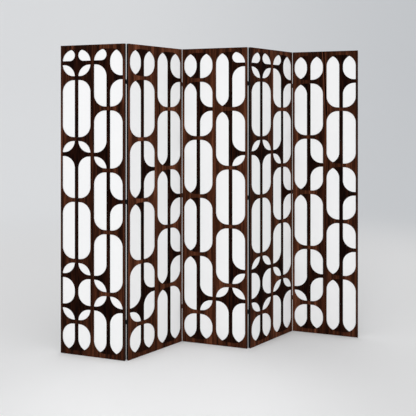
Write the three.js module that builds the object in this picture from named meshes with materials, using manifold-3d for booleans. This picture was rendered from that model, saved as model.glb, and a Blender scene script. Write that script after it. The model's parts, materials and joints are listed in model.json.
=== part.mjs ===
// A folding screen of five leaves that stands in a zigzag.
//
// Every leaf is a flat board with a white sheet on its front face. Two thin cut-out sheets lie over
// the white one: a dark lattice, and over it a walnut lattice whose columns are half a column aside.
// Three small butt hinges join each leaf to the next, by turns at the back and at the front, so that
// the leaves fold together like a fan and open out again.
//
// Units are millimetres. +Z is up, the front of the screen faces -Y, and leaf 1 is the one at -X.

import * as THREE from "three";
import Module from "manifold-3d";
import { mergeVertices } from "three/addons/utils/BufferGeometryUtils.js";

const wasm = await Module();
wasm.setup();

// ---------------------------------------------------------------- driving dimensions

const leafCount = 5;
const leafWidth = 400;
const leafHeight = 1760;
const rootLeaf = 3; // the middle leaf, which stays put while the others swing
const halfFold = THREE.MathUtils.degToRad(30.5); // turn of each leaf out of the screen's long line

const glueGap = 0.3; // between sheets that lie on each other
const walnutThickness = 1.2;
const darkThickness = 0.9;
const whiteThickness = 1;
const leafThickness = 15;

const barWidth = 22.5; // every bar of both lattices
const sideBorder = 13;
const endBorder = 25;
const rows = 10; // grid steps from the top border to the bottom border
const cornerRadius = 68;
const cornerSteps = 3;

const hingeHeights = { top: 0.88, middle: 0.5, bottom: 0.12 }; // parts of the leaf's height
const hingeLength = 26;
const plateThickness = 0.6;
const plateReach = 12.5; // from the hinge axis to the plate's far edge
const barrelRadius = 1.75;
const boreRadius = 1.05;
const pinRadius = 0.7;
const knuckleGap = 0.3; // between knuckles, end to end
const axisToEdge = 1.1; // from the hinge axis to the narrow edge of each leaf
const axisBehindBack = 1.8;
const axisBeforeFront = 0.5;
const barrelClearance = 0.35;
const barrelSteps = 8;

// ---------------------------------------------------------------- values that follow from them

const darkFront = walnutThickness + glueGap;
const whiteFront = darkFront + darkThickness + glueGap;
const boardFront = whiteFront + whiteThickness + glueGap;

const columnWidth = (leafWidth - 2 * sideBorder - barWidth) / 2;
const columnLefts = [sideBorder, sideBorder + columnWidth + barWidth];
const firstLine = endBorder - barWidth / 2; // grid line 0, down from the top
const rowStep = (leafHeight - 2 * firstLine) / rows;

const knuckleLength = (hingeLength - 2 * knuckleGap) / 3;
const knuckleNotch = {
  depth: Math.sqrt((barrelRadius + barrelClearance) ** 2 - axisBeforeFront ** 2) - axisToEdge,
  length: hingeLength + 2 * barrelClearance,
};

// Grid lines that the bars of each lattice cross, counted down from the top border.
// The walnut columns are alike in every leaf: the bars of one sit midway between the other's.
const walnutCrossings = [
  [0, 1, 3, 5, 7, 9, 10],
  [0, 2, 4, 6, 8, 10],
];
// The dark columns run on from leaf to leaf, each leaf sharing its last column with the next one's
// first, and after six columns they start again.
const darkCrossings = [
  [0, 0.5, 3.5, 7.5, 8.5, 10],
  [0, 0.5, 3.5, 7.5, 8.5, 10],
  [0, 1, 5, 8.5, 10],
  [0, 4, 8, 10],
  [0, 1, 5, 7, 10],
  [0, 2, 8.5, 10],
];
const darkColumnsPerLeaf = 2;

// ---------------------------------------------------------------- materials

const material = (color, roughness, metalness = 0) =>
  new THREE.MeshStandardMaterial({ color, roughness, metalness });

const finishes = {
  board: () => material("#121214", 0.55),
  white: () => material("#eff0f0", 0.45),
  dark: () => material("#180b06", 0.5),
  walnut: () => material("#4b2a1c", 0.5),
  hinge: () => material("#0e0f10", 0.4, 0.8),
};

// ---------------------------------------------------------------- flat sheets

// The outline of a leaf, with a notch beside each hinge barrel on the edges that need one.
function leafOutline(notchLeft = false, notchRight = false) {
  const outline = new THREE.Shape();
  const centres = Object.values(hingeHeights).map((part) => part * leafHeight);
  const edge = (x, inward, fromTop) => {
    const half = (fromTop ? 1 : -1) * knuckleNotch.length / 2;
    const order = fromTop ? centres : [...centres].reverse();
    for (const z of order) {
      outline.lineTo(x, z + half);
      outline.lineTo(x + inward, z + half);
      outline.lineTo(x + inward, z - half);
      outline.lineTo(x, z - half);
    }
  };
  outline.moveTo(0, 0);
  outline.lineTo(leafWidth, 0);
  if (notchRight) edge(leafWidth, -knuckleNotch.depth, false);
  outline.lineTo(leafWidth, leafHeight);
  outline.lineTo(0, leafHeight);
  if (notchLeft) edge(0, knuckleNotch.depth, true);
  outline.closePath();
  return outline;
}

// An opening between two crossing bars, with its left or right pair of corners round or square.
function opening(left, right, upperLine, lowerLine, roundLeft = true, roundRight = true) {
  const top = leafHeight - firstLine - upperLine * rowStep - barWidth / 2;
  const bottom = leafHeight - firstLine - lowerLine * rowStep + barWidth / 2;
  const radius = Math.min(cornerRadius, (top - bottom) / 2);
  const points = [];
  const corner = (x, z, towardX, towardZ, startAngle, round) => {
    if (!round) {
      points.push(new THREE.Vector2(x, z));
      return;
    }
    for (let step = 0; step <= cornerSteps; step++) {
      const angle = startAngle + (step / cornerSteps) * (Math.PI / 2);
      points.push(new THREE.Vector2(
        x + radius * (towardX + Math.cos(angle)),
        z + radius * (towardZ + Math.sin(angle)),
      ));
    }
  };
  corner(right, top, -1, -1, 0, roundRight);
  corner(left, top, 1, -1, Math.PI / 2, roundLeft);
  corner(left, bottom, 1, 1, Math.PI, roundLeft);
  corner(right, bottom, -1, 1, 1.5 * Math.PI, roundRight);
  return new THREE.Path(points);
}

function cutColumn(sheet, left, right, lines, roundLeft, roundRight) {
  for (let index = 1; index < lines.length; index++) {
    sheet.holes.push(opening(left, right, lines[index - 1], lines[index], roundLeft, roundRight));
  }
}

function walnutLattice(notchLeft, notchRight) {
  const sheet = leafOutline(notchLeft, notchRight);
  columnLefts.forEach((left, column) => {
    cutColumn(sheet, left, left + columnWidth, walnutCrossings[column]);
  });
  return sheet;
}

// The dark bars run down the middle of the walnut columns, so the outer two dark columns are halves.
function darkLattice(leafNumber) {
  const sheet = leafOutline();
  const barLefts = columnLefts.map((left) => left + (columnWidth - barWidth) / 2);
  const lefts = [sideBorder, barLefts[0] + barWidth, barLefts[1] + barWidth];
  const rights = [barLefts[0], barLefts[1], leafWidth - sideBorder];
  const firstColumn = (leafNumber - 1) * darkColumnsPerLeaf;
  lefts.forEach((left, column) => {
    const lines = darkCrossings[(firstColumn + column) % darkCrossings.length];
    cutColumn(sheet, left, rights[column], lines, column > 0, column < 2);
  });
  return sheet;
}

// Gives an outline its thickness, from a distance behind the leaf's front face, and stands it up.
function sheetGeometry(outline, front, thickness) {
  const geometry = new THREE.ExtrudeGeometry(outline, { depth: thickness, bevelEnabled: false });
  geometry.rotateX(Math.PI / 2);
  geometry.translate(0, front + thickness, 0);
  return geometry;
}

// ---------------------------------------------------------------- hinges

function toManifold(geometry) {
  const bare = geometry.clone();
  bare.deleteAttribute("normal");
  bare.deleteAttribute("uv");
  const merged = mergeVertices(bare, 1e-5);
  return new wasm.Manifold(new wasm.Mesh({
    numProp: 3,
    vertProperties: new Float32Array(merged.attributes.position.array),
    triVerts: new Uint32Array(merged.index.array),
  }));
}

function toGeometry(solid) {
  const mesh = solid.getMesh();
  const geometry = new THREE.BufferGeometry();
  geometry.setAttribute("position", new THREE.BufferAttribute(mesh.vertProperties, 3));
  geometry.setIndex(new THREE.BufferAttribute(mesh.triVerts, 1));
  return geometry;
}

function upright(radius, sides, z0, z1) {
  const geometry = new THREE.CylinderGeometry(radius, radius, z1 - z0, sides);
  geometry.rotateX(Math.PI / 2);
  geometry.translate(0, 0, (z0 + z1) / 2);
  return toManifold(geometry);
}

// The section of a hinge half through a knuckle: the barrel with the plate running out of it.
// side and back mirror it, as for hingeHalf below.
function knuckleSection(side, back) {
  const nearFace = axisToEdge - glueGap - plateThickness;
  const farFace = axisToEdge - glueGap;
  const start = Math.acos(nearFace / barrelRadius);
  const sweep = Math.acos(farFace / barrelRadius) + 2 * Math.PI - start;
  const points = [[farFace, plateReach], [nearFace, plateReach]];
  for (let step = 0; step <= barrelSteps; step++) {
    const angle = start + (step / barrelSteps) * sweep;
    points.push([barrelRadius * Math.cos(angle), barrelRadius * Math.sin(angle)]);
  }
  return new THREE.Shape(points.map(([x, y]) => new THREE.Vector2(side * x, back * y)));
}

function prism(section, z0, z1) {
  const geometry = new THREE.ExtrudeGeometry(section, { depth: z1 - z0, bevelEnabled: false });
  geometry.translate(0, 0, z0);
  return toManifold(geometry);
}

// One half of a hinge, with its axis on Z at the origin and its middle at z = 0. side is -1 for the
// half on the leaf at the left, which has the two outer knuckles and the pin, and +1 for the half
// on the leaf at the right, which has the middle knuckle. back is -1 where the leaves lie before
// the axis, toward -Y, and +1 where they lie behind it.
function hingeHalf(side, back) {
  const end = hingeLength / 2;
  const knuckles = side < 0
    ? [[-end, knuckleLength - end], [end - knuckleLength, end]]
    : [[-knuckleLength / 2, knuckleLength / 2]];
  const plate = new THREE.BoxGeometry(
    plateThickness,
    plateReach - barrelRadius - barrelClearance,
    hingeLength,
  );
  plate.translate(
    side * (axisToEdge - glueGap - plateThickness / 2),
    back * (plateReach + barrelRadius + barrelClearance) / 2,
    0,
  );
  let half = toManifold(plate);
  for (const [z0, z1] of knuckles) half = half.add(prism(knuckleSection(side, back), z0, z1));
  return toGeometry(side < 0
    ? half.add(upright(pinRadius, 6, -end, end))
    : half.subtract(upright(boreRadius, 6, -end, end)));
}

// ---------------------------------------------------------------- leaves

// A joint between leaf n and leaf n + 1 has its axis behind the backs where n is odd, and before
// the fronts where n is even.
function axisDepth(leftLeafNumber) {
  return leftLeafNumber % 2 === 1 ? leafThickness + axisBehindBack : -axisBeforeFront;
}

function addMesh(group, name, geometry, finish) {
  const mesh = new THREE.Mesh(geometry, finish());
  mesh.name = name;
  group.add(mesh);
}

function addHingeHalves(group, leftLeafNumber, side) {
  const depth = axisDepth(leftLeafNumber);
  const back = depth > 0 ? -1 : 1;
  const leafName = side < 0 ? leftLeafNumber : leftLeafNumber + 1;
  for (const [place, part] of Object.entries(hingeHeights)) {
    const geometry = hingeHalf(side, back);
    const x = side < 0 ? leafWidth + axisToEdge : -axisToEdge;
    geometry.translate(x, depth, part * leafHeight);
    const joint = `hinge_${leftLeafNumber}_${leftLeafNumber + 1}_${place}`;
    addMesh(group, `${joint}_plate_on_leaf_${leafName}`, geometry, finishes.hinge);
  }
}

// A leaf in its own frame: x from its left edge, y back from its front face, z up from the floor.
function buildLeaf(number) {
  const leaf = new THREE.Group();
  const hasLeft = number > 1;
  const hasRight = number < leafCount;
  const notchLeft = hasLeft && axisDepth(number - 1) < 0;
  const notchRight = hasRight && axisDepth(number) < 0;
  const parts = [
    ["board", leafOutline(), boardFront, leafThickness - boardFront, finishes.board],
    ["white_sheet", leafOutline(), whiteFront, whiteThickness, finishes.white],
    ["dark_lattice", darkLattice(number), darkFront, darkThickness, finishes.dark],
    ["walnut_lattice", walnutLattice(notchLeft, notchRight), 0, walnutThickness, finishes.walnut],
  ];
  for (const [name, outline, front, thickness, finish] of parts) {
    addMesh(leaf, `leaf_${number}_${name}`, sheetGeometry(outline, front, thickness), finish);
  }
  if (hasLeft) addHingeHalves(leaf, number - 1, 1);
  if (hasRight) addHingeHalves(leaf, number, -1);
  return leaf;
}

// Hangs a leaf on the one before it, turned about the hinge axis that they share.
function hangLeaf(parent, parentNumber, number) {
  const toRight = number > parentNumber;
  const depth = axisDepth(Math.min(number, parentNumber));
  const swing = new THREE.Group();
  swing.position.set(toRight ? leafWidth + axisToEdge : -axisToEdge, depth, 0);
  swing.rotation.z = (number % 2 === 0 ? 2 : -2) * halfFold;
  const leaf = buildLeaf(number);
  leaf.position.set(toRight ? axisToEdge : -(leafWidth + axisToEdge), -depth, 0);
  swing.add(leaf);
  parent.add(swing);
  return leaf;
}

const screen = new THREE.Group();
const middle = buildLeaf(rootLeaf);
middle.rotation.z = -halfFold;
screen.add(middle);

for (const direction of [-1, 1]) {
  let parent = middle;
  for (let number = rootLeaf + direction; number >= 1 && number <= leafCount; number += direction) {
    parent = hangLeaf(parent, number - direction, number);
  }
}

// The origin is under the middle of the whole screen, on the floor.
const box = new THREE.Box3().setFromObject(screen, true);
const centre = box.getCenter(new THREE.Vector3());
middle.position.set(-centre.x, -centre.y, 0);

export default screen;
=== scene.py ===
import json
from math import acos, atan2, cos, pi, radians, sin, sqrt

import bmesh
import bpy
from mathutils import Matrix, Vector


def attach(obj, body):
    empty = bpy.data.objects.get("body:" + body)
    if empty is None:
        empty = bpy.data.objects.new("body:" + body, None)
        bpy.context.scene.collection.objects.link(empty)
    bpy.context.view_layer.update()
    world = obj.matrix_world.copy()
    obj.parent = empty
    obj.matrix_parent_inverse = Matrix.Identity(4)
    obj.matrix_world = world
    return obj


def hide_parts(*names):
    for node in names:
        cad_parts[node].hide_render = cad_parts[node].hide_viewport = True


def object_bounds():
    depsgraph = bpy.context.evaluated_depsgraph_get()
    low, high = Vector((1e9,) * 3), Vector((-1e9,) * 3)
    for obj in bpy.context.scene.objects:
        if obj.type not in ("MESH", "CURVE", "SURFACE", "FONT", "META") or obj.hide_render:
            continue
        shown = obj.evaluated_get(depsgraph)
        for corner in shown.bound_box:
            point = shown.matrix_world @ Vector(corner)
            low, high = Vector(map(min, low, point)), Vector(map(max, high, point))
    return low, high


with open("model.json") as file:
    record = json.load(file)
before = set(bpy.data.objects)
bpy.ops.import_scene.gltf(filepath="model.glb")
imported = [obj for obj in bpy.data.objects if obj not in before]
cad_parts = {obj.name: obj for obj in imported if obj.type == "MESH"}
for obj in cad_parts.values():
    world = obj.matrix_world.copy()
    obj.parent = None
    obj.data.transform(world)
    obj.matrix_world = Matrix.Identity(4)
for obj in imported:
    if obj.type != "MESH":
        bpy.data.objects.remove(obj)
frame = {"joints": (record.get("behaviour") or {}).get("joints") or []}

cad_low, cad_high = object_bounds()
screen_height = cad_high.z - cad_low.z


# ---- Boards
# Each leaf is a flat board, 15 mm thick with its facing, painted satin black, with faint grain in
# the paint. Its narrow edges lean in a little toward the back, and flare out again to the full
# width at the back corners.

# The leaves stand in a zigzag, each turned half a fold out of the screen's long line. A leaf is
# worked in its own place: x from its left edge, y back from its front face, z up from the floor.
leaf_numbers = (1, 2, 3, 4, 5)
leaf_width = 0.4
leaf_thickness = 0.015
axis_to_edge = 0.0011
axis_behind_back = 0.0018
axis_before_front = 0.0005

hinge_lines = {joint["name"].removeprefix("hinge_line_"): Vector(joint["pos_m"]).xy
               for joint in frame["joints"]}


def joint_name(left_leaf):
    return f"{left_leaf}_{left_leaf + 1}"


def axis_depth(left_leaf):
    """The hinge line after an odd leaf lies behind the backs, and after an even one in front."""
    return leaf_thickness + axis_behind_back if left_leaf % 2 else -axis_before_front


def axis_on_leaf(number, left_leaf):
    """A hinge line in the place of one of the two leaves that it joins."""
    x = leaf_width + axis_to_edge if number == left_leaf else -axis_to_edge
    return Vector((x, axis_depth(left_leaf)))


def heading(vector):
    return atan2(vector.y, vector.x)


def turn_of(number):
    """Leaf 2's turn, from the hinge lines on both its sides, or the same the other way."""
    on_leaf = axis_on_leaf(2, 2) - axis_on_leaf(2, 1)
    turn = heading(hinge_lines["2_3"] - hinge_lines["1_2"]) - heading(on_leaf)
    return turn if number % 2 == 0 else -turn


def place_of(number):
    left_leaf = min(number, leaf_numbers[-1] - 1)
    turned = Matrix.Rotation(turn_of(number), 2) @ axis_on_leaf(number, left_leaf)
    corner = hinge_lines[joint_name(left_leaf)] - turned
    return Matrix.Translation(corner.to_3d()) @ Matrix.Rotation(turn_of(number), 4, "Z")


board_front = 0.0026
edge_flare = 0.0012
flare_steps = 4


def inset(loop, amount):
    """A closed run of points moved sideways, to its left, by the same amount at every edge."""
    moved = []
    for index, point in enumerate(loop):
        before = (point - loop[index - 1]).normalized()
        after = (loop[(index + 1) % len(loop)] - point).normalized()
        across = Vector((-before.y - after.y, before.x + after.x))
        moved.append(point + across * (amount / (1 + before.dot(after))))
    return moved


def ring(mesh, loop, depth):
    return [mesh.verts.new((point.x, depth, point.y)) for point in loop]


def ring_edges(mesh, verts):
    pairs = zip(verts, verts[1:] + verts[:1])
    return [mesh.edges.get(pair) or mesh.edges.new(pair) for pair in pairs]


def wall(mesh, verts, next_verts, finish):
    for index in range(len(verts)):
        corners = (verts[index - 1], verts[index], next_verts[index], next_verts[index - 1])
        mesh.faces.new(corners).material_index = finish


def cap(mesh, rings, finish):
    """Closes a flat face that has the first ring round it and the others cut out of it."""
    edges = [edge for verts in rings for edge in ring_edges(mesh, verts)]
    filled = bmesh.ops.triangle_fill(mesh, use_beauty=True, use_dissolve=False, edges=edges)
    for face in filled["geom"]:
        if isinstance(face, bmesh.types.BMFace):
            face.material_index = finish


FACE, RIM, CUT, GROOVE = 0, 1, 2, 3


def sheet_piece(name, number, outline, openings, profile, finishes, grooves=()):
    """A flat piece on a leaf, cut out to its outline and openings. The profile is the depth and the
    inset of every ring of its edges, from front to back. Grooves are cut part of the way in."""
    mesh = bmesh.new()
    fronts, backs = [], []
    for place, loop in enumerate([outline, *openings]):
        rings = [ring(mesh, inset(loop, inward), depth) for depth, inward in profile]
        for verts, next_verts in zip(rings, rings[1:]):
            wall(mesh, verts, next_verts, CUT if place else RIM)
        fronts.append(rings[0])
        backs.append(rings[-1])
    for loop, floor_loop, depth in grooves:
        mouth = ring(mesh, loop, profile[0][0])
        floor = ring(mesh, floor_loop, depth)
        wall(mesh, mouth, floor, GROOVE)
        cap(mesh, [floor], GROOVE)
        fronts.append(mouth)
    cap(mesh, fronts, FACE)
    cap(mesh, backs, FACE)
    bmesh.ops.recalc_face_normals(mesh, faces=mesh.faces)
    return fitted_piece(name, number, mesh, finishes)


smooth_below = radians(28)


def smooth_object(name, mesh):
    """Makes an object of a drawn mesh, shaded smooth all over."""
    data = bpy.data.meshes.new(name)
    mesh.to_mesh(data)
    mesh.free()
    data.polygons.foreach_set("use_smooth", [True] * len(data.polygons))
    made = bpy.data.objects.new(name, data)
    bpy.context.scene.collection.objects.link(made)
    return made


def fitted_piece(name, number, mesh, finishes):
    """Makes a piece of a mesh drawn in a leaf's place, and has it swing with that leaf."""
    piece = smooth_object(name, mesh)
    piece.data.set_sharp_from_angle(angle=smooth_below)
    for finish in finishes:
        piece.data.materials.append(finish)
    piece.matrix_world = place_of(number)
    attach(piece, f"leaf_{number}")
    return piece


class Signal:
    """A value that changes over a surface. Sums and products of it add Math nodes."""

    def __init__(self, finish, socket):
        self.finish = finish
        self.socket = socket

    def math(self, operation, first, second):
        return self.finish.node("Math", {"operation": operation}, {0: first, 1: second})

    def __add__(self, other):
        return self.math("ADD", self, other)

    def __sub__(self, other):
        return self.math("SUBTRACT", self, other)

    def __rsub__(self, other):
        return self.math("SUBTRACT", other, self)

    def __mul__(self, other):
        return self.math("MULTIPLY", self, other)

    __radd__ = __add__
    __rmul__ = __mul__


class Finish:
    """A finish on a piece: its nodes, and the shader that they feed."""

    def __init__(self, name):
        self.material = bpy.data.materials.new(name)
        self.material.use_nodes = True
        self.nodes = self.material.node_tree.nodes
        self.links = self.material.node_tree.links
        self.nodes.clear()

    def node(self, kind, settings, sockets, output=0):
        made = self.nodes.new("ShaderNode" + kind)
        for setting, value in settings.items():
            if setting == "stops":
                while len(made.color_ramp.elements) < len(value):
                    made.color_ramp.elements.new(1)
                for element, (position, colour) in zip(made.color_ramp.elements, value):
                    element.position = position
                    element.color = (*colour, 1)
            else:
                setattr(made, setting, value)
        for socket, value in sockets.items():
            if isinstance(value, Signal):
                self.links.new(value.socket, made.inputs[socket])
            else:
                made.inputs[socket].default_value = value
        return Signal(self, made.outputs[output] if made.outputs else None)

    def place(self, scale, shift=(0, 0, 0)):
        """The place on the piece, stretched by a scale along x, y and z and then shifted."""
        own = self.node("TexCoord", {}, {}, "Object")
        return self.node("VectorMath", {"operation": "MULTIPLY_ADD"}, {0: own, 1: scale, 2: shift})

    def along(self, axis):
        own = self.node("TexCoord", {}, {}, "Object")
        return self.node("SeparateXYZ", {}, {0: own}, axis)

    def noise(self, scale, shift=(0, 0, 0), detail=2, roughness=0.5):
        sockets = {"Vector": self.place(scale, shift), "Scale": 1, "Detail": detail,
                   "Roughness": roughness}
        return self.node("TexNoise", {}, sockets)

    def step(self, value, low, high):
        """0 where the value is below low, 1 where it is above high, and smooth between."""
        return self.node("MapRange", {"interpolation_type": "SMOOTHSTEP"},
                         {"Value": value, "From Min": low, "From Max": high})

    def mix(self, factor, first, second):
        return self.node("Mix", {"data_type": "RGBA"}, {0: factor, 6: first, 7: second}, 2)

    def surface(self, settings, height=None, height_reach=0.001):
        """The shader, with a bump where a height is given, and the output."""
        sockets = dict(settings)
        if height:
            sockets["Normal"] = self.node("Bump", {}, {"Strength": 1.0, "Distance": height_reach,
                                                       "Height": height})
        shader = self.node("BsdfPrincipled", {}, sockets)
        self.node("OutputMaterial", {}, {"Surface": shader})
        return self.material


def tone(red, green, blue):
    return (red, green, blue, 1)


def black_paint():
    """Satin black paint rolled on a board: fine stipple, and the wood's long grain through it."""
    finish = Finish("satin black paint")
    grain = finish.noise((160, 160, 5), detail=4, roughness=0.6)
    stipple = finish.noise((900, 900, 900), detail=3)
    cloud = finish.noise((6, 6, 3), (3, 1, 7), detail=3)
    shade = finish.step(cloud * 0.4 + grain * 0.6, 0.36, 0.64)
    return finish.surface({
        "Base Color": finish.mix(shade, tone(0.0012, 0.0014, 0.0018), tone(0.0090, 0.0093, 0.0098)),
        "Roughness": 0.30 + cloud * 0.20 + grain * 0.16 + stipple * 0.06,
        "Specular IOR Level": 0.18,
    }, grain * 0.7 + stipple * 0.3, 0.00022)


paint = black_paint()


def leaf_outline(notches=()):
    """The leaf's edge, counterclockwise from its lower left corner. A notch is the side it is on,
    its middle height, its depth and its length."""
    loop = [Vector((0, 0)), Vector((leaf_width, 0))]
    right = sorted((notch for notch in notches if notch[0] > 0), key=lambda notch: notch[1])
    left = sorted((notch for notch in notches if notch[0] < 0), key=lambda notch: -notch[1])
    for _, middle, depth, length in right:
        for x, z in ((0, -0.5), (-depth, -0.5), (-depth, 0.5), (0, 0.5)):
            loop.append(Vector((leaf_width + x, middle + z * length)))
    loop += [Vector((leaf_width, screen_height)), Vector((0, screen_height))]
    for _, middle, depth, length in left:
        for x, z in ((0, 0.5), (depth, 0.5), (depth, -0.5), (0, -0.5)):
            loop.append(Vector((x, middle + z * length)))
    return loop


board_profile = [(board_front, 0)]
for step in range(flare_steps + 1):
    angle = step / flare_steps * pi / 2
    before_back = edge_flare * (1 - sin(angle))
    board_profile.append((leaf_thickness - before_back, edge_flare * cos(angle)))

for number in leaf_numbers:
    board = sheet_piece(f"leaf_{number}_painted_board", number, leaf_outline(), [], board_profile,
                        [paint, paint])
    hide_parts(f"leaf_{number}_board")


# ---- White sheets
# A smooth white sheet is glued over the whole front of each board. It is what shows in the
# openings of the lattices. Its cut edge is painted black with the board's.

white_front = 0.0021
sheet_ease = 0.0001


def white_facing():
    """Smooth satin white, a little uneven in tone, with a very faint roller texture."""
    finish = Finish("satin white facing")
    cloud = finish.noise((5, 5, 3), (2, 5, 1), detail=4)
    speckle = finish.noise((1200, 1200, 1200), detail=2)
    return finish.surface({
        "Base Color": finish.mix(cloud, tone(0.866, 0.866, 0.868), tone(0.903, 0.902, 0.900)),
        "Roughness": 0.42 + cloud * 0.1 + speckle * 0.06,
        "Specular IOR Level": 0.35,
    }, speckle, 0.00004)


white = white_facing()
for number in leaf_numbers:
    profile = [(white_front, sheet_ease), (white_front + sheet_ease, 0), (board_front, 0)]
    facing = sheet_piece(f"leaf_{number}_white_facing", number, leaf_outline(), [], profile,
                         [white, paint])
    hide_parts(f"leaf_{number}_white_sheet")


# ---- Dark lattices
# Over the white sheet lies a thin lattice cut from one sheet and stained a near-black brown. Its
# upright bars run down the middle of the columns of the walnut lattice, and its cross bars
# continue from leaf to leaf.

dark_front = 0.0012
bar_width = 0.0225
side_border = 0.013
end_border = 0.025
rows = 10
corner_radius = 0.068
arc_steps = 14
column_width = (leaf_width - 2 * side_border - bar_width) / 2
column_lefts = (side_border, side_border + column_width + bar_width)
first_line = end_border - bar_width / 2
row_step = (screen_height - 2 * first_line) / rows

# The grid lines, counted down from the top border, that each column's cross bars lie on. After six
# columns they start again, and a leaf shares its last column with the next leaf's first.
dark_crossings = (
    (0, 0.5, 3.5, 7.5, 8.5, 10),
    (0, 0.5, 3.5, 7.5, 8.5, 10),
    (0, 1, 5, 8.5, 10),
    (0, 4, 8, 10),
    (0, 1, 5, 7, 10),
    (0, 2, 8.5, 10),
)


def line_height(line):
    return screen_height - first_line - line * row_step


def opening(left, right, upper_line, lower_line, round_left=True, round_right=True):
    """An opening between two cross bars, clockwise. Each side's two corners are round or square."""
    top = line_height(upper_line) - bar_width / 2
    bottom = line_height(lower_line) + bar_width / 2
    radius = min(corner_radius, (top - bottom) / 2)
    corners = (
        (left, bottom, 1, 1, -pi / 2, round_left),
        (left, top, 1, -1, pi, round_left),
        (right, top, -1, -1, pi / 2, round_right),
        (right, bottom, -1, 1, 0, round_right),
    )
    loop = []
    for x, z, toward_x, toward_z, start, is_round in corners:
        if not is_round:
            loop.append(Vector((x, z)))
            continue
        for step in range(arc_steps + 1):
            angle = start - step / arc_steps * pi / 2
            centre = Vector((x + radius * toward_x, z + radius * toward_z))
            loop.append(centre + Vector((cos(angle), sin(angle))) * radius)
    return without_repeats(loop)


def without_repeats(loop):
    shortest = 1e-5
    return [point for index, point in enumerate(loop)
            if (point - loop[index - 1]).length > shortest]


def column_openings(left, right, lines, round_left=True, round_right=True):
    return [opening(left, right, upper, lower, round_left, round_right)
            for upper, lower in zip(lines, lines[1:])]


def dark_stain(number):
    """Near-black brown stain, with a few reddish threads of grain left in it."""
    finish = Finish(f"dark stain on leaf {number}")
    shift = (number * 3.7, number * 1.3, number * 2.9)
    thread = finish.noise((420, 420, 7), shift, detail=3, roughness=0.6)
    cloud = finish.noise((30, 30, 4), shift, detail=2)
    reddish = finish.step(thread + cloud * 0.4, 0.62, 0.9)
    return finish.surface({
        "Base Color": finish.mix(reddish, tone(0.0028, 0.0008, 0.0004),
                                 tone(0.032, 0.0088, 0.0040)),
        "Roughness": 0.5 + thread * 0.14,
        "Specular IOR Level": 0.02,
    }, thread, 0.0001)


for number in leaf_numbers:
    bar_lefts = [left + (column_width - bar_width) / 2 for left in column_lefts]
    lefts = (side_border, *(left + bar_width for left in bar_lefts))
    rights = (*bar_lefts, leaf_width - side_border)
    openings = []
    for column, (left, right) in enumerate(zip(lefts, rights)):
        lines = dark_crossings[(2 * (number - 1) + column) % len(dark_crossings)]
        openings += column_openings(left, right, lines, column > 0,
                                    column < len(lefts) - 1)
    profile = [(dark_front, sheet_ease), (dark_front + sheet_ease, 0), (white_front, 0)]
    stain = dark_stain(number)
    lattice = sheet_piece(f"leaf_{number}_dark_sheet", number, leaf_outline(), openings, profile,
                          [stain, paint, stain])
    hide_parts(f"leaf_{number}_dark_lattice")


# ---- Walnut lattices
# In front lies a lattice of walnut brown, cut from one sheet with its grain upright. The cross
# bars of one column lie midway between the other's. Its edges are notched where a hinge barrel
# stands before the fronts. The last leaf's sheet has a shallow split down from its top edge, its
# faces painted near-black as the shade deep in it.

walnut_crossings = ((0, 1, 3, 5, 7, 9, 10), (0, 2, 4, 6, 8, 10))
walnut_ease = 0.0002
hinge_heights = {"top": 0.88, "middle": 0.5, "bottom": 0.12}
hinge_length = 0.026
barrel_radius = 0.00175
barrel_clearance = 0.00035
notch_depth = sqrt((barrel_radius + barrel_clearance) ** 2 - axis_before_front ** 2) - axis_to_edge
notch_length = hinge_length + 2 * barrel_clearance

# How much darker each leaf's walnut is drawn, from leaf 1 to leaf 5.
walnut_darkening = (0.135, 0.070, 0.086, 0.088, 0.115)

split_leaf = 5
split_top = Vector((0.1935, screen_height - 0.0006))
split_foot = Vector((0.2110, screen_height - 0.4180))
split_width = 0.0090
split_floor_part = 0.86
split_depth = 0.0009
split_points = 26
long_wander, long_turns = 0.00035, 23
short_wander, short_turns = 0.0002, 61
foot_closing, foot_opening = 12, 0.12
streak_from_split = 0.0078
streak_core, streak_reach = 0.0010, 0.0035
streak_fade = (0.30, 0.46)


def split_outline(width):
    """The split's two lips, which wander a little and close at its foot."""
    run = split_foot - split_top
    across = Vector((-run.y, run.x)).normalized()
    lips = []
    for side in (-1, 1):
        lip = []
        for step in range(split_points + 1):
            part = step / split_points
            wander = (long_wander * sin(long_turns * part + side)
                      + short_wander * sin(short_turns * part + 2 * side))
            open_by = width * min(1, foot_closing * (1 - part) + foot_opening) / 2
            lip.append(split_top + run * part + across * (side * open_by + wander))
        lips.append(lip)
    return lips[0] + lips[1][::-1]


def walnut(number, depth):
    """Walnut brown stain over upright grain: broad figure, streaks, fibres and short dark pores.
    Depth is how much darker the leaf's sheet is drawn."""
    finish = Finish(f"walnut stain on leaf {number}")
    shift = (number * 2.3, number * 0.7, number * 4.1)
    warp = finish.noise((5, 5, 1.3), shift, detail=2)
    figure = finish.noise((26, 26, 0.9), shift, detail=3, roughness=0.55)
    streak = finish.noise((150, 150, 4), shift, detail=4, roughness=0.65)
    fibre = finish.noise((620, 620, 14), shift, detail=3, roughness=0.6)
    pore = finish.step(finish.noise((1300, 1300, 48), shift, detail=1), 0.60, 0.72)
    lightness = figure * 0.56 + streak * 0.52 + fibre * 0.34 + warp * 0.12 - depth
    brown = finish.node("ValToRGB", {"stops": (
        (0.54, (0.0078, 0.0020, 0.0008)),
        (0.64, (0.0330, 0.0094, 0.0038)),
        (0.72, (0.0660, 0.0195, 0.0082)),
        (0.84, (0.1550, 0.0510, 0.0245)),
    )}, {"Fac": lightness})
    colour = finish.mix(pore * 0.7, brown, tone(0.010, 0.003, 0.0015))
    if number == split_leaf:
        colour = pale_streak(finish, colour)
    return finish.surface({
        "Base Color": colour,
        "Roughness": 0.44 + streak * 0.14 + pore * 0.1,
        "Specular IOR Level": 0.03,
    }, streak * 0.3 + fibre * 0.5 - pore * 0.6, 0.00022)


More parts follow.
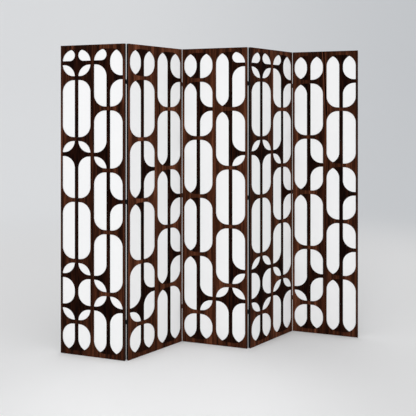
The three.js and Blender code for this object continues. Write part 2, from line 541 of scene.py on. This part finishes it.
def split_shadow_paint():
    """The faces of the split, painted near-black as the shade deep in it, with torn fibres along
    it.
    """
    finish = Finish("split painted as shade")
    fibre = finish.noise((900, 900, 20), detail=3)
    return finish.surface({
        "Base Color": finish.mix(fibre, tone(0.0008, 0.0004, 0.0003), tone(0.0036, 0.0016, 0.0010)),
        "Roughness": 0.8 + fibre * 0.1,
        "Specular IOR Level": 0.0,
    }, fibre, 0.0003)


def pale_streak(finish, colour):
    """A paler, redder streak in the wood beside the split."""
    lean = (split_foot.x - split_top.x) / (split_top.y - split_foot.y)
    down = screen_height - finish.along("Z")
    beside = finish.along("X") - down * lean - (split_top.x - streak_from_split)
    from_left = finish.step(beside, -streak_reach, -streak_core)
    from_right = 1 - finish.step(beside, streak_core, streak_reach)
    upper = 1 - finish.step(down, *streak_fade)
    return finish.mix(from_left * from_right * upper * 0.8, colour, tone(0.120, 0.042, 0.022))


for number in leaf_numbers:
    notches = []
    for side, left_leaf in ((-1, number - 1), (1, number)):
        if left_leaf in leaf_numbers[:-1] and axis_depth(left_leaf) < 0:
            notches += [(side, part * screen_height, notch_depth, notch_length)
                        for part in hinge_heights.values()]
    openings = []
    for left, lines in zip(column_lefts, walnut_crossings):
        openings += column_openings(left, left + column_width, lines)
    grooves = []
    cut_edge = dark_stain(number + len(leaf_numbers))
    finishes = [walnut(number, walnut_darkening[number - 1]), paint, cut_edge]
    if number == split_leaf:
        floor_outline = split_outline(split_width * split_floor_part)
        grooves.append((split_outline(split_width), floor_outline, split_depth))
        # The split's faces are painted near-black as the shade deep in it.
        finishes.append(split_shadow_paint())
    profile = [(0, walnut_ease), (walnut_ease, 0), (dark_front, 0)]
    lattice = sheet_piece(f"leaf_{number}_walnut_sheet", number, leaf_outline(notches), openings,
                          profile, finishes, grooves)
    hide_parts(f"leaf_{number}_walnut_lattice")


# ---- Hinges
# Three small butt hinges of black enamelled steel join each leaf to the next. Each plate is
# screwed to a leaf's narrow edge with two countersunk screws, and its knuckles turn on a pin
# whose ends are spread into low heads.

plate_gap = 0.0003
plate_thickness = 0.0006
plate_reach = 0.0125
knuckle_gap = 0.0003
pin_radius = 0.0007
knuckle_length = (hinge_length - 2 * knuckle_gap) / 3
barrel_sides = 28
round_sides = 24
screw_spread = 0.0078
screw_reach = 0.0078
screw_radius = 0.0021
screw_proud = 0.0001
plate_corner = 0.0016
corner_steps = 8
knuckle_tail = 0.004
cross_sink = 0.0005
cross_parts = (0.62, 0.16)
cross_taper = 0.7
screw_rim = ((0.94, 0), (1, -0.00008), (1, -0.0003))
pin_dome = ((1.1, 0), (1.1, 0.16), (0.9, 0.30), (0.5, 0.38))


def prism(mesh, loop, low, high, finish=0):
    """Stands a flat outline up between two heights, with both ends closed."""
    lower = [mesh.verts.new((point.x, point.y, low)) for point in loop]
    upper = [mesh.verts.new((point.x, point.y, high)) for point in loop]
    wall(mesh, lower, upper, finish)
    mesh.faces.new(lower[::-1]).material_index = finish
    mesh.faces.new(upper).material_index = finish
    return lower + upper


def circle(radius, sides):
    return [Vector((cos(2 * pi * step / sides), sin(2 * pi * step / sides))) * radius
            for step in range(sides)]


def knuckle_section():
    """The rolled end of a plate: the barrel, with the start of the plate running out of it."""
    far_face = axis_to_edge - plate_gap
    near_face = far_face - plate_thickness
    start = acos(near_face / barrel_radius)
    sweep = acos(far_face / barrel_radius) + 2 * pi - start
    angles = [start + sweep * step / barrel_sides for step in range(barrel_sides + 1)]
    tail = [Vector((far_face, knuckle_tail)), Vector((near_face, knuckle_tail))]
    return tail + [Vector((cos(angle), sin(angle))) * barrel_radius for angle in angles]


def plate_outline():
    """The plate seen on its face, square toward the barrel and round at its two far corners."""
    inner = barrel_radius + barrel_clearance
    half = hinge_length / 2
    loop = [Vector((inner, -half))]
    for direction, start in ((-1, -pi / 2), (1, 0)):
        centre = Vector((plate_reach - plate_corner, direction * (half - plate_corner)))
        for step in range(corner_steps + 1):
            angle = start + step / corner_steps * pi / 2
            loop.append(centre + Vector((cos(angle), sin(angle))) * plate_corner)
    loop.append(Vector((inner, half)))
    return loop


def screw(mesh, finish):
    """A countersunk head with its cross recess, drawn flat on its back with its face at z = 0."""
    arm, slot = (screw_radius * part for part in cross_parts)
    cross = [(arm, -slot), (arm, slot), (slot, slot), (slot, arm),
             (-slot, arm), (-slot, slot), (-arm, slot), (-arm, -slot),
             (-slot, -slot), (-slot, -arm), (slot, -arm), (slot, -slot)]
    face = [mesh.verts.new((x, y, 0)) for x, y in cross]
    floor = [mesh.verts.new((x * cross_taper, y * cross_taper, -cross_sink)) for x, y in cross]
    wall(mesh, floor, face, finish)
    cap(mesh, [floor], finish)
    rings = [[mesh.verts.new((point.x, point.y, height))
              for point in circle(part * screw_radius, round_sides)] for part, height in screw_rim]
    for verts, next_verts in zip(rings, rings[1:]):
        wall(mesh, verts, next_verts, finish)
    cap(mesh, [rings[0], face], finish)
    cap(mesh, [rings[-1]], finish)
    return face + floor + [vert for verts in rings for vert in verts]


def pin_head(mesh, end, direction):
    """The low dome that the pin's end is spread into."""
    rings = []
    for part, rise in pin_dome:
        rings.append([mesh.verts.new((point.x, point.y, end + direction * rise * pin_radius))
                      for point in circle(part * pin_radius, round_sides)])
    for verts, next_verts in zip(rings, rings[1:]):
        wall(mesh, verts, next_verts, 0)
    mesh.faces.new(rings[0])
    mesh.faces.new(rings[-1])


def hinge_half(side, back):
    """One half of a hinge, its axis on z. side is -1 for the half on the leaf at the left, which
    holds the pin, and back is -1 where the leaves lie before the axis."""
    mesh = bmesh.new()
    end = hinge_length / 2
    outer = ((-end, knuckle_length - end), (end - knuckle_length, end))
    spans = outer if side < 0 else ((-knuckle_length / 2, knuckle_length / 2),)
    for low, high in spans:
        prism(mesh, knuckle_section(), low, high)
    if side < 0:
        prism(mesh, circle(pin_radius, round_sides), -end, end)
        for direction in (-1, 1):
            pin_head(mesh, direction * end, direction)
    near_face = axis_to_edge - plate_gap - plate_thickness
    face_to_edge = Matrix(((0, 0, 1, near_face), (1, 0, 0, 0), (0, 1, 0, 0), (0, 0, 0, 1)))
    plate = prism(mesh, plate_outline(), 0, plate_thickness)
    bmesh.ops.transform(mesh, matrix=face_to_edge, verts=plate)
    for height in (-screw_spread, screw_spread):
        head = screw(mesh, 1)
        seat = Matrix(((0, 0, -1, near_face - screw_proud), (1, 0, 0, screw_reach),
                       (0, 1, 0, height), (0, 0, 0, 1)))
        bmesh.ops.transform(mesh, matrix=seat, verts=head)
    bmesh.ops.scale(mesh, vec=(side, back, 1), verts=mesh.verts)
    bmesh.ops.recalc_face_normals(mesh, faces=mesh.faces)
    return mesh


def enamel(name, worn):
    """Black enamel on steel, slightly uneven, rubbed to the metal in specks."""
    finish = Finish(name)
    cloud = finish.noise((300, 300, 300), detail=3)
    speckle = finish.noise((2600, 2600, 2600), detail=2)
    rubbed = finish.step(speckle + cloud * 0.5, 0.86 - worn, 1.02 - worn)
    return finish.surface({
        "Base Color": finish.mix(rubbed, tone(0.0040, 0.0042, 0.0046), tone(0.09, 0.09, 0.092)),
        "Metallic": rubbed * 0.9,
        "Roughness": 0.34 + cloud * 0.18,
        "Specular IOR Level": 0.4,
    }, speckle * 0.3 + cloud * 0.7, 0.00005)


hinge_enamel = enamel("black enamel", 0.0)
screw_enamel = enamel("blackened screw", 0.12)

for left_leaf in leaf_numbers[:-1]:
    back = -1 if axis_depth(left_leaf) > 0 else 1
    for place, part in hinge_heights.items():
        for side, number in ((-1, left_leaf), (1, left_leaf + 1)):
            mesh = hinge_half(side, back)
            axis = axis_on_leaf(number, left_leaf)
            centre = Vector((axis.x, axis.y, part * screen_height))
            bmesh.ops.translate(mesh, vec=centre, verts=mesh.verts)
            name = f"hinge_{joint_name(left_leaf)}_{place}"
            half = fitted_piece(f"{name}_half_on_leaf_{number}", number, mesh,
                                [hinge_enamel, screw_enamel])
            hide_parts(f"{name}_plate_on_leaf_{number}")


# ---- Floor and backdrop
# The screen stands on a pale studio floor that curves up, all round, into a plain wall. The wall
# is only a backdrop, and sends neither light nor shadow back to the screen. A pool of light is
# painted on the floor before the screen, and shade is painted on the wall toward the right.

floor_radius = 4.6
floor_rings = (0.5, 2.0, floor_radius)
cove_radius = 2.0
wall_height = 7.0
cove_steps = 24
floor_sides = 96
cove_lift = 0.0001
# Where the pool of light painted on the floor lies, and how far it spreads.
painted_light_pool_from_origin = (0.4, 0.6, 0)
painted_light_pool_radii = (0.3, 1.15)
blend_radii = (2.4, 5.4)
blend_height = 0.16
# How far the wall's painted shade reaches, from its lighter left to its darker right.
painted_wall_shade_reach = (-2.2, 4.2)


def turned_sheet(name, profile):
    """A sheet turned about the upright through the origin."""
    mesh = bmesh.new()
    rings = []
    for radius, height in profile:
        rings.append([mesh.verts.new((point.x, point.y, height))
                      for point in circle(radius, floor_sides)])
    for verts, next_verts in zip(rings, rings[1:]):
        wall(mesh, verts, next_verts, 0)
    if profile[0][1] == 0:
        mesh.faces.new(rings[0])
    bmesh.ops.recalc_face_normals(mesh, faces=mesh.faces)
    sheet = smooth_object(name, mesh)
    return sheet


def distance(finish, shift=(0, 0, 0)):
    """How far a place is from the origin, once it is shifted."""
    place = finish.place((1, 1, 1), shift)
    return finish.node("VectorMath", {"operation": "LENGTH"}, {0: place}, "Value")


def floor_tone_with_painted_light(finish):
    """A painted pool of light: palest before the screen's left half, and greyer all round it."""
    shade = finish.step(distance(finish, painted_light_pool_from_origin), *painted_light_pool_radii)
    return finish.mix(shade, tone(0.985, 0.985, 0.985), tone(0.82, 0.82, 0.82))


def wall_tone_with_painted_shade(finish):
    """Painted shade, as the light falls off from the left: a little darker toward the right, as the
    camera sees it.
    """
    rightward = finish.along("X") * 0.97 - finish.along("Y") * 0.24
    shade = finish.step(rightward, *painted_wall_shade_reach)
    return finish.mix(shade, tone(0.835, 0.845, 0.855), tone(0.648, 0.665, 0.685))


def studio_paint(name, blend_of):
    """Matt studio paint, whose floor grey with its painted pool of light runs softly into its wall
    grey with its painted shade.
    """
    finish = Finish(name)
    speckle = finish.noise((40, 40, 40), detail=3)
    return finish.surface({
        "Base Color": finish.mix(blend_of(finish), floor_tone_with_painted_light(finish), wall_tone_with_painted_shade(finish)),
        "Roughness": 0.85 + speckle * 0.1,
        "Specular IOR Level": 0.1,
    })


def floor_blend(finish):
    return finish.step(distance(finish), *blend_radii)


def wall_blend(finish):
    start = floor_blend(finish)
    return start + (1 - start) * finish.step(finish.along("Z"), 0, blend_height)


floor = turned_sheet("studio_floor", [(radius, 0) for radius in floor_rings])
floor.data.materials.append(studio_paint("floor grey", floor_blend))

cove = [(floor_radius + cove_radius * sin(step / cove_steps * pi / 2),
         cove_radius * (1 - cos(step / cove_steps * pi / 2))) for step in range(cove_steps + 1)]
cove = [(radius, height + cove_lift) for radius, height in cove]
backdrop = turned_sheet("studio_backdrop", cove + [(floor_radius + cove_radius, wall_height)])
backdrop.data.materials.append(studio_paint("wall grey", wall_blend))
backdrop.visible_diffuse = False
backdrop.visible_glossy = False
backdrop.visible_shadow = False


# ---- Light and camera
# Even light from all round, with one broad soft light from the front left. The camera stands level
# at 0.77 of the screen's height, a little to the left, and its lens is shifted down so that
# upright edges stay upright.

world = bpy.data.worlds.new("studio_light")
world.use_nodes = True
surrounding = world.node_tree.nodes["Background"]
surrounding.inputs["Color"].default_value = tone(0.985, 0.99, 1)
surrounding.inputs["Strength"].default_value = 0.80
bpy.context.scene.world = world
bpy.context.scene.view_settings.view_transform = "Standard"


def soft_light(name, place, aim, width, height, power):
    light = bpy.data.lights.new(name, "AREA")
    light.shape = "RECTANGLE"
    light.size = width
    light.size_y = height
    light.energy = power
    lamp = bpy.data.objects.new(name, light)
    bpy.context.scene.collection.objects.link(lamp)
    lamp.location = place
    lamp.rotation_mode = "QUATERNION"
    lamp.rotation_quaternion = (Vector(aim) - Vector(place)).to_track_quat("-Z", "Y")
    lamp.visible_camera = False
    lamp.visible_glossy = False


soft_light("front_left", place=(-2.4, -6.2, 3.2), aim=(0, 0, 0.8),
           width=3.0, height=2.4, power=131)

eye_level = 0.77
camera_turn = radians(-13.93)
eye = Vector((-0.8716, -3.3518, eye_level * screen_height))
lens = bpy.data.cameras.new("level_camera")
lens.lens = 50.43
lens.shift_y = -0.2201
camera = bpy.data.objects.new("level_camera", lens)
bpy.context.scene.collection.objects.link(camera)
camera.location = eye
camera.rotation_euler = (pi / 2, 0, camera_turn)
bpy.context.scene.camera = camera
